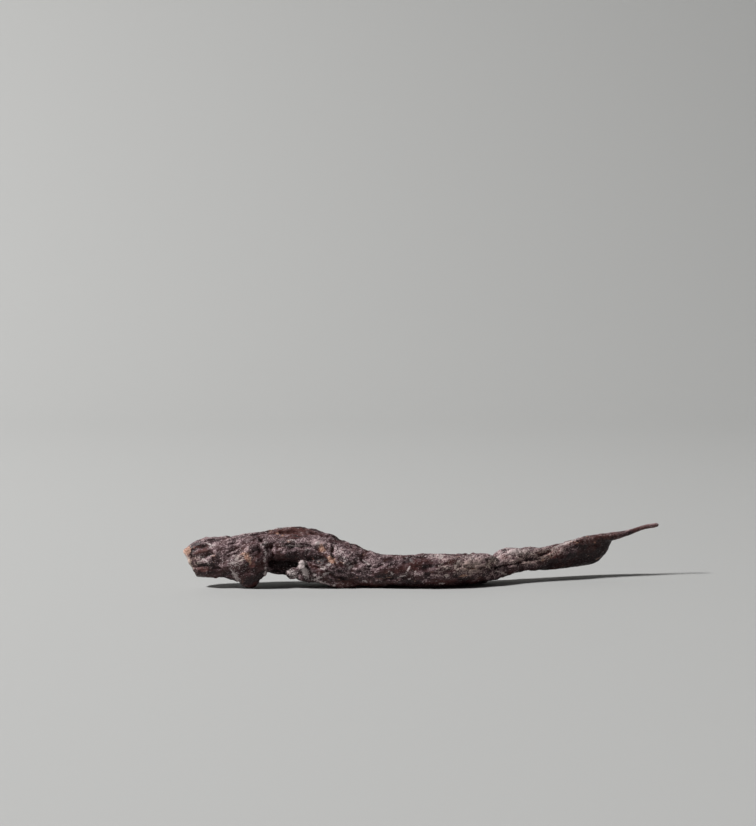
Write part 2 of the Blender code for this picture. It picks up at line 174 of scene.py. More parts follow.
UPPER_END = [
    (-82.2, -0.8, 12.2, 1.2, 1.0, 0),
    (-80.9, -0.6, 12.6, 1.9, 1.6, 0),
    (-79.0, -0.3, 13.0, 3.1, 2.6, 0),
    (-75.0, 0.2, 13.7, 4.4, 3.2, 0),
    (-69.0, 0.6, 14.1, 4.6, 3.2, 0),
    (-62.0, 1.2, 14.8, 4.0, 3.3, 0),
]
LOWER_END = [
    (-78.3, -0.8, 6.0, 3.4, 2.8, 0),
    (-74.0, -1.4, 6.1, 4.3, 2.8, 0),
    (-68.0, -1.6, 6.6, 4.4, 2.9, 0),
    (-62.5, -1.6, 6.9, 3.6, 2.9, 0),
]
END_RIB = [
    (-81.4, -1.2, 11.6, 1.5, 1.1, 0),
    (-80.4, -1.4, 9.8, 1.7, 1.1, 0),
    (-79.4, -1.6, 7.8, 1.9, 1.0, 0),
    (-78.6, -1.6, 5.8, 1.7, 1.0, 0),
]
TONGUE = [
    (-79.2, -4.0, 11.8, 0.9, 0.7, 0),
    (-76.6, -4.9, 12.7, 1.0, 0.8, 0),
    (-74.0, -5.4, 13.5, 0.9, 0.7, 0),
]
BACK_ROLL = [
    (-70.0, 4.0, 8.8, 2.2, 3.0, 0),
    (-60.0, 5.6, 8.6, 2.6, 4.2, 0),
    (-49.0, 6.8, 8.0, 2.7, 4.8, 0),
    (-37.0, 6.8, 7.6, 2.8, 5.0, 0),
    (-24.0, 5.6, 5.2, 3.3, 5.0, 0),
    (-9.0, 5.0, 4.4, 3.4, 5.0, 0),
    (7.0, 4.7, 4.6, 3.1, 4.8, 0),
    (21.2, 9.3, 6.1, 2.4, 2.9, 0),
    (32.6, 14.6, 6.9, 1.8, 2.1, 0),
]
# Each strand, and how round its two ends are: 0 is cut square and 1 is a full dome.
STRANDS = [
    (BODY, 0.15, 0.9),
    (RIBBON, 0.8, 0.7),
    (RIM, 1.0, 1.0),
    (CREST, 1.0, 1.0),
    (FOLD, 1.0, 1.0),
    (ROLL, 1.0, 1.0),
    (KNOB, 0.8, 0.55),
    (KNOB_LIP, 0.9, 0.9),
    (SHOULDER, 0.9, 0.7),
    (FLAP, 0.8, 0.6),
    (SKIRT, 0.8, 0.8),
    (FLAP_CURL, 0.9, 0.8),
    (UPPER_END, 0.7, 0.8),
    (LOWER_END, 0.2, 0.8),
    (END_RIB, 0.8, 0.7),
    (TONGUE, 0.8, 0.8),
    (BACK_ROLL, 1.0, 1.0),
]
# The line that the meat's fibres follow from end to end: body, then ribbon, then wisp.
GUIDE = BODY[:-2] + RIBBON[3:-1] + RIM[7:]

# Creases, each drawn on one side of the strip: that side, its depth and width in mm, and its points.
# A front or back crease lists x and z, and a top crease lists x and y.
CREASES = [
    ("front", 1.0, 0.7, [(-52.2, 14.2), (-52.0, 10.6), (-52.6, 6.2)]),
    ("front", 0.6, 0.6, [(-79.5, 7.6), (-74.0, 7.9), (-70.0, 7.0), (-67.5, 5.4)]),
    ("front", 0.8, 0.6, [(-79.3, 13.2), (-77.0, 14.1), (-75.2, 14.8)]),
    ("front", 0.6, 0.5, [(-75.8, 11.2), (-74.0, 11.6), (-72.0, 12.3)]),
    ("front", 0.6, 0.6, [(-70.0, 15.6), (-64.0, 15.9), (-57.5, 16.8)]),
    ("front", 0.9, 0.5, [(-30.6, 14.6), (-30.8, 12.2), (-29.6, 9.4)]),
    ("front", 0.8, 0.5, [(-38.0, 8.2), (-34.0, 7.0), (-30.5, 4.4), (-27.0, 3.2)]),
    ("front", 0.7, 0.5, [(-20.8, 9.8), (-16.6, 7.8), (-13.6, 8.3)]),
    ("front", 0.3, 0.6, [(-12.0, 3.8), (-3.0, 4.4), (5.0, 3.3)]),
    ("front", 0.3, 0.7, [(-6.0, 8.2), (2.0, 7.5), (9.0, 8.7)]),
    ("front", 0.5, 0.6, [(13.6, 7.9), (18.2, 7.2), (23.1, 6.4)]),
    ("front", 0.6, 0.7, [(27.0, 10.6), (25.0, 7.4), (23.7, 4.6)]),
    ("front", 1.0, 0.55, [(26.5, 6.4), (29.9, 6.9), (34.6, 7.3), (38.0, 8.0), (41.3, 8.1)]),
    ("front", 1.5, 0.6, [(42.0, 9.6), (44.4, 9.9), (46.6, 10.7)]),
    ("top", 0.4, 1.5, [(26.6, 0.8), (26.8, 6.9), (26.0, 12.4)]),
    ("top", 0.8, 0.7, [(-74.0, 2.0), (-64.0, 1.2), (-55.0, 2.6), (-44.0, 3.4), (-33.0, 2.0)]),
    ("top", 0.6, 0.7, [(-24.0, 1.4), (-12.0, 2.2), (0.0, 1.2), (12.0, 3.2)]),
    ("top", 0.6, 0.6, [(30.6, 12.2), (40.9, 16.0), (51.2, 19.7)]),
    ("back", 0.9, 0.7, [(-76.0, 11.5), (-64.0, 13.1), (-52.0, 14.7), (-38.0, 14.2), (-26.0, 11.0)]),
    ("back", 0.8, 0.7, [(-20.0, 3.5), (-6.0, 2.9), (8.0, 3.8), (22.3, 3.9)]),
    ("back", 0.6, 0.6, [(2.0, 8.9), (14.1, 8.9), (26.4, 8.6), (40.9, 7.4)]),
    ("back", 0.8, 0.6, [(-43.0, 8.7), (-40.0, 11.6), (-38.5, 15.4)]),
]
# Which way each side faces, and the two axes that its creases are drawn on.
SIDES = {
    "front": (np.array([0.0, -1.0, 0.0]), (0, 2)),
    "back": (np.array([0.0, 1.0, 0.0]), (0, 2)),
    "top": (np.array([0.0, 0.0, 1.0]), (0, 1)),
}

# The shrunken skin's relief: each kind's height, length along and width across the fibres in mm,
# how many finer copies of itself it carries, and the place in the noise where it is read.
LUMPS = (0.60, 8.0, 5.0, 2, 3.1)
WRINKLES = (0.45, 7.0, 2.6, 2, 17.7)
CROSS_FOLDS = (0.30, 2.6, 2.8, 2, 41.3)
CRUMBS = (0.95, 2.4, 2.2, 2, 7.9)
WANDER = (0.5, 3.0, 3.0, 2, 29.0)  # how far a crease strays from its drawn line
NOISE_LOSS = 0.8  # how fast the finer copies get weaker
NOISE_STEP = 2.1  # how much finer each copy is than the last
WRINKLE_FLOOR = 0.10  # mm, how far a wrinkle's valley lies below the mean skin
FLAP_CENTRE = (-38.5, -5.0, 5.0)
FLAP_REACH = (9.0, 6.0, 5.0)  # the crumbs fade out over this far from the flap's centre
FLAP_CALM = 0.7  # the share of the other relief that the crumbs replace at the flap's centre
SWIRL = 0.018  # radians a mm that the fibres turn about the strip
# How much of its relief the skin keeps along x: the torn end and the thin ribbon are smoother, and the
# wisp is smoothest.
FADE_X = (-82.0, -73.0, 28.0, 44.0, 66.0, 77.0)
FADE_SHARES = (0.6, 1.0, 1.0, 0.55, 0.5, 0.15)

# Finer relief that only the skin has: fibres that lie along the strip, and grit.
FIBRES = (0.10, 3.5, 0.9, 2, 57.3)
FIBRE_FLOOR = 0.02  # mm, how far the skin lies below the mean between two fibres
GRIT = (0.14, 1.3, 1.3, 2, 71.9)
FINE_FADE = 0.5  # a power: the finer relief fades less than the solid's
RIDGE_ROUNDS = 6  # rounds of smoothing that a small ridge stands out of
RIDGE_HEIGHT = 0.12  # mm, a ridge that counts in full
SWELL_ROUNDS = 60  # the same for a broad swelling
SWELL_HEIGHT = 0.5
TOP_SLOPE = 0.45  # past this upward slope a surface gets no paler bloom: painted top light

# Where the photograph's viewer stands, and the upright plane on which the patches are drawn, in mm
# and in the strip's own place before it is moved to the middle of its box.
VIEWPOINT = (-14.96, -677.2, 106.78)
DRAWING_PLANE = -3.0
# A patch covers what faces the viewer: it keeps this share where the skin turns sideways, and gains
# or loses this much more as it faces forwards or back.
PATCH_ON_SIDES = 0.35
PATCH_TURN = 1.5
# Coloured patches on the strip's front, each as x and height of its middle on that plane, half its
# length, half its width, its tilt in degrees and its strength.
FAT_PATCHES = [
    (-81.9, 12.9, 1.9, 1.3, 20, 1.2),
    (-61.6, 11.8, 0.9, 0.7, 0, 0.8),
    (-60.6, 10.7, 1.8, 1.1, -50, 1.0),
    (-59.6, 8.9, 1.0, 0.7, -50, 0.8),
    (-49.8, 18.9, 0.8, 0.5, 0, 0.8),
    (-48.3, 18.4, 0.6, 0.5, 0, 0.7),
    (-34.6, 13.6, 1.7, 1.1, -55, 1.0),
    (-31.3, 9.8, 1.9, 1.0, -60, 1.0),
    (14.8, 4.1, 1.8, 0.4, 5, 0.9),
    (17.2, 6.6, 2.6, 0.5, 0, 0.6),
    (42.4, 9.6, 0.8, 0.4, 40, 1.0),
    (45.4, 10.6, 0.6, 0.4, 0, 0.8),
    (52.3, 16.1, 0.5, 0.4, 0, 0.8),
    (54.3, 15.8, 0.5, 0.4, 0, 0.7),
    (57.6, 18.0, 0.6, 0.4, 0, 0.7),
    (60.4, 15.8, 0.5, 0.4, 0, 0.7),
]
PALE_PATCHES = [
    (-81.2, 9.8, 3.8, 0.7, 120, 0.9),
    (-83.0, 12.4, 1.2, 0.8, 60, 1.1),
    (-76.8, 10.7, 1.6, 0.3, 12, 0.8),
    (-75.4, 9.7, 1.7, 0.3, -40, 0.8),
    (-76.9, 9.2, 1.6, 0.3, 35, 0.8),
    (-74.4, 9.0, 1.5, 0.3, -65, 0.8),
    (-77.8, 8.5, 1.0, 0.3, 60, 0.9),
    (-72.6, 14.6, 1.6, 0.3, 30, 0.8),
    (-73.6, 15.2, 1.4, 0.3, -30, 0.8),
    (-64.0, 18.7, 8.0, 0.5, 6, 0.7),
    (-65.6, 8.7, 0.7, 0.5, 0, 1.2),
    (-64.2, 10.0, 1.0, 0.5, 30, 1.2),
    (-62.6, 9.5, 0.8, 0.5, 20, 1.2),
    (-64.0, 9.0, 3.4, 2.8, 60, 0.5),
    (-64.6, 4.1, 3.6, 1.0, -60, 0.7),
    (-54.6, 15.2, 1.5, 0.9, 60, 0.65),
    (-54.0, 12.2, 1.3, 0.6, 100, 0.7),
    (-54.4, 9.6, 1.0, 0.5, 70, 0.7),
    (-54.0, 7.2, 1.0, 0.6, 95, 0.6),
    (-54.3, 5.0, 1.0, 0.7, 80, 0.9),
    (-47.5, 21.2, 8.0, 0.5, 8, 0.7),
    (-45.5, 16.6, 2.4, 0.4, 0, 0.55),
    (-44.0, 14.7, 6.0, 0.4, 0, 0.55),
    (-36.1, 15.6, 0.8, 0.6, 0, 1.5),
    (-41.5, 8.2, 1.6, 1.2, 50, 1.7),
    (-40.4, 5.6, 2.0, 1.0, 115, 1.4),
    (-45.0, 5.0, 2.8, 1.5, -30, 0.6),
    (-37.2, 4.5, 0.7, 0.4, -40, 1.2),
    (-36.0, 3.2, 2.2, 0.5, 18, 0.8),
    (-34.6, 1.9, 3.6, 0.5, -20, 0.7),
    (-34.1, 6.9, 1.3, 0.6, -15, 1.2),
    (-33.1, 4.8, 1.3, 0.5, 20, 1.0),
    (-32.2, 8.0, 0.7, 0.5, 0, 1.3),
    (-30.3, 0.7, 0.5, 0.4, 0, 1.3),
    (-27.3, 10.8, 6.0, 2.0, -60, 0.4),
    (-24.8, 7.0, 0.9, 0.5, 30, 1.0),
    (-19.4, 2.2, 0.8, 0.25, -20, 1.2),
    (-19.0, 8.7, 1.8, 0.4, -35, 1.0),
    (-6.5, 4.0, 2.4, 0.3, 20, 0.9),
    (-4.1, 2.9, 0.5, 0.25, 20, 1.2),
    (-4.4, 6.3, 1.3, 0.4, 60, 0.9),
    (-10.2, 5.0, 1.4, 0.3, -40, 0.8),
    (-1.8, 5.2, 1.4, 0.3, -35, 0.8),
    (5.4, 11.3, 5.2, 0.5, 0, 0.6),
    (7.0, 10.7, 0.9, 0.5, 10, 1.4),
    (8.5, 7.2, 2.2, 0.7, -15, 0.7),
    (8.8, 4.1, 1.2, 0.6, 0, 0.7),
    (7.3, 1.4, 1.4, 0.3, 0, 0.8),
    (12.8, 8.6, 1.4, 0.4, 60, 1.4),
    (12.0, 7.3, 1.0, 0.4, 100, 1.5),
    (12.7, 6.3, 0.5, 0.4, 0, 1.5),
    (14.6, 7.4, 0.5, 0.4, 0, 1.4),
    (17.5, 10.8, 4.0, 1.5, 0, 0.5),
    (24.2, 9.0, 2.6, 0.35, 50, 1.1),
    (25.4, 9.2, 2.4, 0.3, 125, 1.0),
    (26.4, 10.2, 2.0, 0.3, 50, 1.0),
    (23.6, 7.6, 1.6, 0.3, 120, 0.9),
    (27.9, 5.3, 3.0, 0.4, -20, 0.8),
    (31.5, 4.4, 2.4, 0.4, 35, 0.8),
    (33.6, 12.7, 7.0, 2.2, 0, 0.6),
    (50.5, 15.6, 8.0, 0.5, 22, 0.8),
]
RED_PATCHES = [
    (-76.6, 12.6, 2.6, 0.6, 12, 1.2),
    (-77.4, 14.2, 1.4, 0.7, 0, 0.8),
    (-76.0, 6.5, 3.6, 1.4, 0, 0.8),
    (-32.8, 11.4, 1.8, 0.9, -60, 1.1),
    (-58.7, 8.0, 3.4, 1.0, 70, 0.75),
    (-45.9, 19.6, 8.0, 1.8, 0, 1.1),
    (-27.0, 1.5, 3.2, 1.0, 0, 1.3),
    (10.8, 9.0, 1.6, 0.8, 0, 1.4),
    (28.7, 10.9, 1.3, 0.9, 0, 1.4),
    (42.4, 12.5, 2.6, 0.7, 10, 0.9),
    (46.4, 12.2, 3.2, 2.2, 20, 1.0),
    (60.0, 17.0, 12.0, 1.6, 12, 0.7),
    (79.5, 21.8, 9.0, 3.5, 0, 1.0),
]
# Where the bloom lies thickest, and how much it counts beside the bare and shaded places. Two of these
# patches partly paint light: they lighten the ribbon's start and the belly's lower half, which the
# lamp leaves dim.
DUST_AND_LIGHT_SHARE = 0.65
DUST_AND_PAINTED_LIGHT_PATCHES = [
    (34.0, 12.6, 8.0, 2.6, 0, 1.4),
    (34.0, 9.4, 7.0, 1.8, 4, 1.3),
    (42.0, 10.2, 5.0, 1.3, 10, 1.2),
    (14.0, 10.0, 9.0, 2.0, 0, 0.6),
    (46.0, 12.5, 7.0, 2.4, 12, 1.3),
    (-69.0, 6.6, 4.5, 2.4, -20, 0.7),
    (-76.0, 9.4, 3.2, 1.4, 0, 1.0),
    # Partly painted light: lightens the ribbon's start, which turns from the lamp, and partly its pale
    # tissue.
    (24.8, 8.8, 3.4, 2.2, 40, 1.3),
    (17.5, 7.4, 6.0, 3.0, 0, 1.5),
    (-34.5, 15.2, 4.5, 2.0, -10, 1.4),
    (-60.5, 12.0, 4.5, 2.6, 0, 0.8),
    (-47.0, 13.4, 7.0, 1.2, 0, 0.6),
    # Painted light: lightens the belly's lower half.
    (0.0, 4.4, 18.0, 1.4, 0, 0.5),
    (-28.0, 11.5, 6.0, 3.4, -50, 0.15),
]
# Where the bloom is tan rather than pink.
TAN_PATCHES = [
    (16.0, 6.5, 14.0, 4.0, 0, 0.7),
    (40.0, 10.5, 12.0, 3.0, 10, 0.8),
    (24.4, 8.4, 3.4, 2.2, 30, 0.8),
    (-79.8, 9.5, 2.4, 5.0, 10, 1.0),
    (-61.0, 10.8, 3.0, 2.4, 0, 0.7),
    (62.0, 17.0, 10.0, 2.0, 15, 0.5),
]
# Where the skin is darker and smoother, with little bloom. Most of these patches are painted shade:
# under the roll and the arch, low on the knob, along the belly's foot, at the end's lower edge and on
# the ribbon's face that turns from the lamp. The rest are bare red meat.
BARE_AND_PAINTED_SHADE_PATCHES = [
    (-43.0, 11.8, 9.0, 2.2, 0, 0.5),
    (-76.6, 12.6, 2.8, 0.5, 12, 1.2),
    (-47.0, 8.4, 7.0, 2.2, 0, 0.9),
    (-59.5, 2.5, 4.0, 2.2, 0, 1.0),
    (-46.0, 19.8, 8.0, 1.5, 0, 0.6),
    (-37.0, 5.0, 5.0, 3.0, 0, 0.4),
    (-34.5, 9.4, 4.5, 1.6, -10, 0.8),
    (-6.0, 8.8, 9.0, 1.4, 0, 0.45),
    (10.8, 9.0, 1.6, 0.8, 0, 1.3),
    (28.7, 10.9, 1.2, 0.8, 0, 1.2),
    (-57.0, 7.5, 2.6, 6.0, 0, 0.45),
    (-77.0, 5.3, 6.0, 1.4, 0, 0.7),
    (0.0, 1.0, 22.0, 1.2, 0, 0.6),
    (60.0, 11.5, 11.0, 3.6, 20, 1.6),
    (46.0, 6.9, 8.0, 1.4, 8, 0.8),
]

# Linear colours of the meat, its bloom, its fat and the floor.
DARK_MEAT = (0.024, 0.011, 0.012, 1.0)
WARM_MEAT = (0.070, 0.026, 0.024, 1.0)
RED_MEAT = (0.118, 0.046, 0.040, 1.0)
BLOOM = (0.142, 0.086, 0.095, 1.0)
FROST = (0.560, 0.410, 0.416, 1.0)
TAN_FROST = (0.560, 0.415, 0.335, 1.0)
WHITE = (0.700, 0.600, 0.585, 1.0)
FAT = (0.340, 0.155, 0.103, 1.0)
CREAM = (0.720, 0.455, 0.340, 1.0)
FLOOR_COLOUR = (0.50, 0.50, 0.49, 1.0)

# Sizes in mm of the grain in the meat's colour: along the fibres, and then across them twice.
CLOUD_SIZE = (10.0, 7.0, 7.0)
WARMTH_SIZE = (6.0, 4.0, 4.0)
CLUMP_SIZE = (4.0, 2.6, 2.6)
FLECK_SIZE = (3.2, 1.1, 1.1)
HAIR_SIZE = (2.8, 1.7, 1.7)
MOTTLE_SIZE = (1.5, 1.0, 1.0)
SPECK_SIZE = (0.48, 0.37, 0.37)
# How many finer copies of itself each grain carries.
WARMTH_DETAIL = 4.0
CLOUD_DETAIL = 3.0
FLECK_DETAIL = 2.0
SPECK_DETAIL = 1.0

# How much each thing adds to the bloom on the meat. The swell, ridge and upward shares also paint
# light on what stands out or faces up and shade in hollows, and the dust share carries the painted
# light and shade of the patches.
SWELL_BLOOM_AND_SHADE_SHARE = 0.05
RIDGE_BLOOM_AND_SHADE_SHARE = 0.09
UPWARD_PAINTED_LIGHT_SHARE = 0.09
CLOUD_SHARE = 0.6
CLUMP_SHARE = 0.7
DUST_AND_LIGHT_BLOOM_SHARE = 0.22
MOTTLE_SHARE = 0.7  # in the haze alone
CLUSTERING = 0.85  # how much more the bloom's specks crowd where the bloom is thick
DUST_AND_LIGHT_WARMTH = 0.10  # how much warmer the meat is under dust and painted light, and how much cooler under painted shade
EDGE_SHARE = 1.6  # how much the grain frays the edge of a patch
PALE_CREAM = 0.20  # how much creamier the fat is in a pale patch

# Where each layer starts to show and where it covers in full.
WARM_RAMP = (0.40, 0.62)
HAZE_RAMP = (0.90, 1.26)
SPECKLE_RAMP = (1.20, 1.28)
HAIR_RAMP = (0.65, 0.83)
PATCH_RAMP = (1.05, 1.45)
FLECK_RAMP = (0.68, 0.74)
CREAM_RAMP = (0.40, 0.62)
GLINT_RAMP = (0.52, 0.62)
HAIR_HALF_WIDTH = 0.045  # how far from its middle value the noise still gives a hair
HAIR_CORE = 0.3  # the share of a hair's half width that is as pale as its middle

# How much of what lies below each layer hides.
HAZE_COVER = 0.9
RED_COVER = 0.75
HAIR_COVER = 0.45
SPECKLE_COVER = 0.63
DUST_AND_LIGHT_COVER = 0.22  # more for the specks under dust and painted light, and less under painted shade
PALE_COVER = 0.75
FAT_COVER = 0.75
FLECK_COVER = 0.6

# The skin's finish: bare meat is slightly glossy, and bloom and pale places are duller.
BARE_ROUGHNESS = 0.43
HAZE_ROUGHNESS = 0.30
PALE_ROUGHNESS = 0.30
BARE_SHINE = 0.20
GLINT_SHINE = 0.33
BUMP_HEIGHT = 0.32  # mm
BUMP_STRENGTH = 0.9
SPECK_BUMP = 0.6  # a speck's height beside the mottle's

# The floor runs to both sides and to the front, and curves up into a backdrop behind, in mm.
FLOOR_REACH = 4000.0
SWEEP_START = 750.0
SWEEP_RADIUS = 600.0
SWEEP_STEPS = 24
BACKDROP_TOP = 1600.0
FLOOR_ROUGHNESS = 0.9

# Each lamp's way from the strip, its size in m and its power. Both stand at the same distance in m.
LIGHT_DISTANCE = 3.0
KEY_LIGHT = ((-0.69, -0.13, 0.71), 0.55, 112.5)
FILL_LIGHT = ((0.25, -0.85, 0.45), 3.0, 0.31)
SKY = (0.9, 0.95, 1.0, 1.0)
SKY_STRENGTH = 0.015

# The camera: its lens and sensor in mm, the image's long side in pixels, how many pixels the line
# that the strip lies on is below the image's middle, and the view's angle above the floor in degrees.
LENS = 85.0
SENSOR = 36.0
IMAGE_LONG = 826
AIM_BELOW = 174.5
ELEVATION = 9.0


def smooth_rows(stations, step):
    """Rows about one step apart on a Catmull-Rom curve through the stations, all columns alike."""
    rows = np.array(stations, float)
    padded = np.vstack([2 * rows[0] - rows[1], rows, 2 * rows[-1] - rows[-2]])
    found = []
    for i in range(1, len(padded) - 2):
        a, b, c, d = padded[i - 1 : i + 3]
        count = max(2, int(np.ceil(np.linalg.norm((c - b)[:3]) / step)))
        for t in np.arange(count) / count:
            straight = 2 * b + (c - a) * t
            bend = (2 * a - 5 * b + 4 * c - d) * t**2 + (3 * b - a - 3 * c + d) * t**3
            found.append(0.5 * (straight + bend))
    found.append(rows[-1])
    return np.array(found)


def unit(vectors):
    return vectors / np.linalg.norm(vectors, axis=-1, keepdims=True)


def frames_along(centres):
    """The tangent, depth axis and height axis at each point of a line."""
    tangent = unit(np.gradient(centres, axis=0))
    depth = unit(np.array([0.0, 1.0, 0.0]) - tangent[:, 1:2] * tangent)
    return tangent, depth, np.cross(tangent, depth)


def dome(row, way, roundness):
    """Copies of an end row that shrink and step outwards, from the row to the strand's tip."""
    angles = np.radians(DOME_ANGLES)
    rows = np.tile(row, (len(angles), 1))
    rows[:, :3] += np.outer(np.sin(angles), way) * roundness * 0.5 * (row[3] + row[4])
    rows[:, 3:5] *= np.cos(angles)[:, None]
    return rows


def strand_mesh(stations, start_roundness, end_roundness):
    """Points and faces of one closed strand: a loft through its unlike sections."""
    rows = smooth_rows(stations, STATION_STEP)
    tangent, depth, height = frames_along(rows[:, :3])
    start = dome(rows[0], -tangent[0], start_roundness)[::-1]
    end = dome(rows[-1], tangent[-1], end_roundness)
    rows = np.vstack([start, rows, end])
    extra = ((len(start), len(end)), (0, 0))
    depth = np.pad(depth, extra, mode="edge")
    height = np.pad(height, extra, mode="edge")

    turn = np.linspace(0.0, 2 * np.pi, RING_SIDES, endpoint=False)
    across = rows[:, 3:4] * np.sign(np.cos(turn)) * np.abs(np.cos(turn)) ** (2 / ROUNDNESS)
    up = rows[:, 4:5] * np.sign(np.sin(turn)) * np.abs(np.sin(turn)) ** (2 / ROUNDNESS)
    roll = np.radians(rows[:, 5:6])
    rolled_across = across * np.cos(roll) - up * np.sin(roll)
    rolled_up = across * np.sin(roll) + up * np.cos(roll)
    points = rows[:, None, :3] + rolled_across[..., None] * depth[:, None]
    points = points + rolled_up[..., None] * height[:, None]

    last = (len(rows) - 1) * RING_SIDES
    faces = [list(range(RING_SIDES))[::-1], list(range(last, last + RING_SIDES))]
    for ring in range(0, last, RING_SIDES):
        for k in range(RING_SIDES):
            beside = (k + 1) % RING_SIDES
            beyond = ring + RING_SIDES
            faces.append([ring + k, ring + beside, beyond + beside, beyond + k])
    return points.reshape(-1, 3), faces


def new_object(name, points, faces):
    mesh = bpy.data.meshes.new(name)
    mesh.from_pydata([Vector(p) for p in points], [], faces)
    obj = bpy.data.objects.new(name, mesh)
    bpy.context.scene.collection.objects.link(obj)
    return obj


def bake_modifiers(obj):
    """The object's mesh becomes what its modifiers make of it."""
    graph = bpy.context.evaluated_depsgraph_get()
    mesh = bpy.data.meshes.new_from_object(obj.evaluated_get(graph))
    obj.modifiers.clear()
    obj.data = mesh


def fused_strands():
    """All strands as one skin: their meshes laid into each other, then remeshed from a fine grid."""
    points = []
    faces = []
    for stations, start_roundness, end_roundness in STRANDS:
        more, sides = strand_mesh(stations, start_roundness, end_roundness)
        faces += [[len(points) + i for i in side] for side in sides]
        points += list(more)
    obj = new_object(NAME, points, faces)
    remesh = obj.modifiers.new("Fuse", "REMESH")
    remesh.mode = "VOXEL"
    remesh.voxel_size = VOXEL
    bake_modifiers(obj)
    return obj


def read_points(mesh):
    flat = np.empty(len(mesh.vertices) * 3, np.float32)
    mesh.vertices.foreach_get("co", flat)
    return flat.reshape(-1, 3).astype(float)


def write_points(mesh, points):
    mesh.vertices.foreach_set("co", points.astype(np.float32).ravel())
    mesh.update()


def read_normals(mesh):
    flat = np.empty(len(mesh.vertices) * 3, np.float32)
    mesh.vertex_normals.foreach_get("vector", flat)
    return flat.reshape(-1, 3).astype(float)


def relax(mesh, rounds):
    """Laplacian smoothing: each point moves halfway to the middle of its neighbours."""
    flat = np.empty(len(mesh.edges) * 2, np.int32)
    mesh.edges.foreach_get("vertices", flat)
    one, other = flat.reshape(-1, 2).T
    points = read_points(mesh)
    neighbours = np.bincount(flat, minlength=len(points))
    for _ in range(rounds):
        for axis in range(3):
            total = np.bincount(one, points[other, axis], len(points))
            total += np.bincount(other, points[one, axis], len(points))
            points[:, axis] = 0.5 * (points[:, axis] + total / neighbours)
    write_points(mesh, points)


def fibre_coordinates(points):
    """For each point, how far along the fibres it is and its two offsets across them."""
    line = smooth_rows([row[:3] for row in GUIDE], STATION_STEP)
    tangent, depth, height = frames_along(line)
    length = np.concatenate([[0.0], np.cumsum(np.linalg.norm(np.diff(line, axis=0), axis=1))])
    tree = kdtree.KDTree(len(line))
    for i, place in enumerate(line):
        tree.insert(place, i)
    tree.balance()
    nearest = np.array([tree.find(p)[1] for p in points])
    offset = points - line[nearest]
    along = length[nearest] + (offset * tangent[nearest]).sum(1)
    a = (offset * depth[nearest]).sum(1)
    b = (offset * height[nearest]).sum(1)
    turn = SWIRL * along
    across = a * np.cos(turn) - b * np.sin(turn)
    up = a * np.sin(turn) + b * np.cos(turn)
    return np.stack([along, across, up], axis=1)


def relief(places, kind):
    """Fractal noise of one kind, in mm about 0, at each place: along the fibres, then across them."""
    height, length, width, octaves, seed = kind
    scaled = places / (length, width, width) + (seed, 0.0, 0.0)
    return height * np.array([noise.fractal(p, NOISE_LOSS, NOISE_STEP, octaves) for p in scaled])


def distance_to_line(points, line):
    """How far each point of a plane lies from a polyline in it."""
    best = np.full(len(points), np.inf)
    for start, end in zip(line[:-1], line[1:]):
        way = end - start
        t = np.clip((points - start) @ way / (way @ way), 0.0, 1.0)
        best = np.minimum(best, np.linalg.norm(points - start - t[:, None] * way, axis=1))
    return best


def crease_depths(points, normals):
    """How deep the drawn creases cut at each point."""
    strayed = points + relief(points, WANDER)[:, None]
    cut = np.zeros(len(points))
    for side, depth, width, line in CREASES:
        facing, axes = SIDES[side]
        shown = np.sqrt(np.clip(normals @ facing, 0.0, 1.0))
        curve = smooth_rows([(*place, 0.0) for place in line], CREASE_STEP)[:, :2]
        gap = distance_to_line(strayed[:, axes], curve)
        cut = np.maximum(cut, depth * shown * np.exp(-((gap / width) ** 2)))
    return cut


def skin_relief(points, normals):
    """How far each point of the smooth strip moves along its normal, in mm."""
    places = fibre_coordinates(points)
    moved = relief(places, LUMPS) + relief(places, CROSS_FOLDS)
    moved += np.abs(relief(places, WRINKLES)) - WRINKLE_FLOOR
    near_flap = np.exp(-(((points - FLAP_CENTRE) / FLAP_REACH) ** 2).sum(1))
    moved += near_flap * (relief(points, CRUMBS) - FLAP_CALM * moved)
    moved -= crease_depths(points, normals)
    return moved * np.interp(points[:, 0], FADE_X, FADE_SHARES)


def prominence(mesh, normals, rounds, height):
    """How far each point stands out of the skin smoothed this often, from -1 to 1."""
    points = read_points(mesh)
    relax(mesh, rounds)
    stands_out = ((points - read_points(mesh)) * normals).sum(1)
    write_points(mesh, points)
    return np.clip(stands_out / height, -1.0, 1.0)


def seen_from_front(points):
    """Where the viewer sees each point on the drawing plane: its x and its height."""
    share = (DRAWING_PLANE - VIEWPOINT[1]) / (points[:, 1] - VIEWPOINT[1])
    seen_x = VIEWPOINT[0] + (points[:, 0] - VIEWPOINT[0]) * share
    seen_z = VIEWPOINT[2] + (points[:, 2] - VIEWPOINT[2]) * share
    return seen_x, seen_z


def patch_strengths(points, normals, patches):
    """How strongly each point is covered by the soft-edged patches of one kind."""
    seen_x, seen_z = seen_from_front(points)
    total = np.zeros(len(points))
    for x, z, half_length, half_width, tilt, strength in patches:
        turn = np.radians(tilt)
        along = (seen_x - x) * np.cos(turn) + (seen_z - z) * np.sin(turn)
        beside = (seen_z - z) * np.cos(turn) - (seen_x - x) * np.sin(turn)
        spot = strength * np.exp(-((along / half_length) ** 2) - (beside / half_width) ** 2)
        total = np.maximum(total, spot)
    return total * np.clip(PATCH_ON_SIDES - PATCH_TURN * normals[:, 1], 0.0, 1.0)


def store(mesh, name, values):
    """Keeps one number or one vector a point in the mesh, for the material to read."""
    kind, field = ("FLOAT", "value") if values.ndim == 1 else ("FLOAT_VECTOR", "vector")
    attribute = mesh.attributes.new(name, kind, "POINT")
    attribute.data.foreach_set(field, values.astype(np.float32).ravel())


def settle(points):
    """Presses what would lie below the table flat against it, and finds the middle of the box."""
    points[:, 2] = np.maximum(points[:, 2], 0.0)
    middle = 0.5 * (points.min(0) + points.max(0))
    return points, np.array([middle[0], middle[1], 0.0])


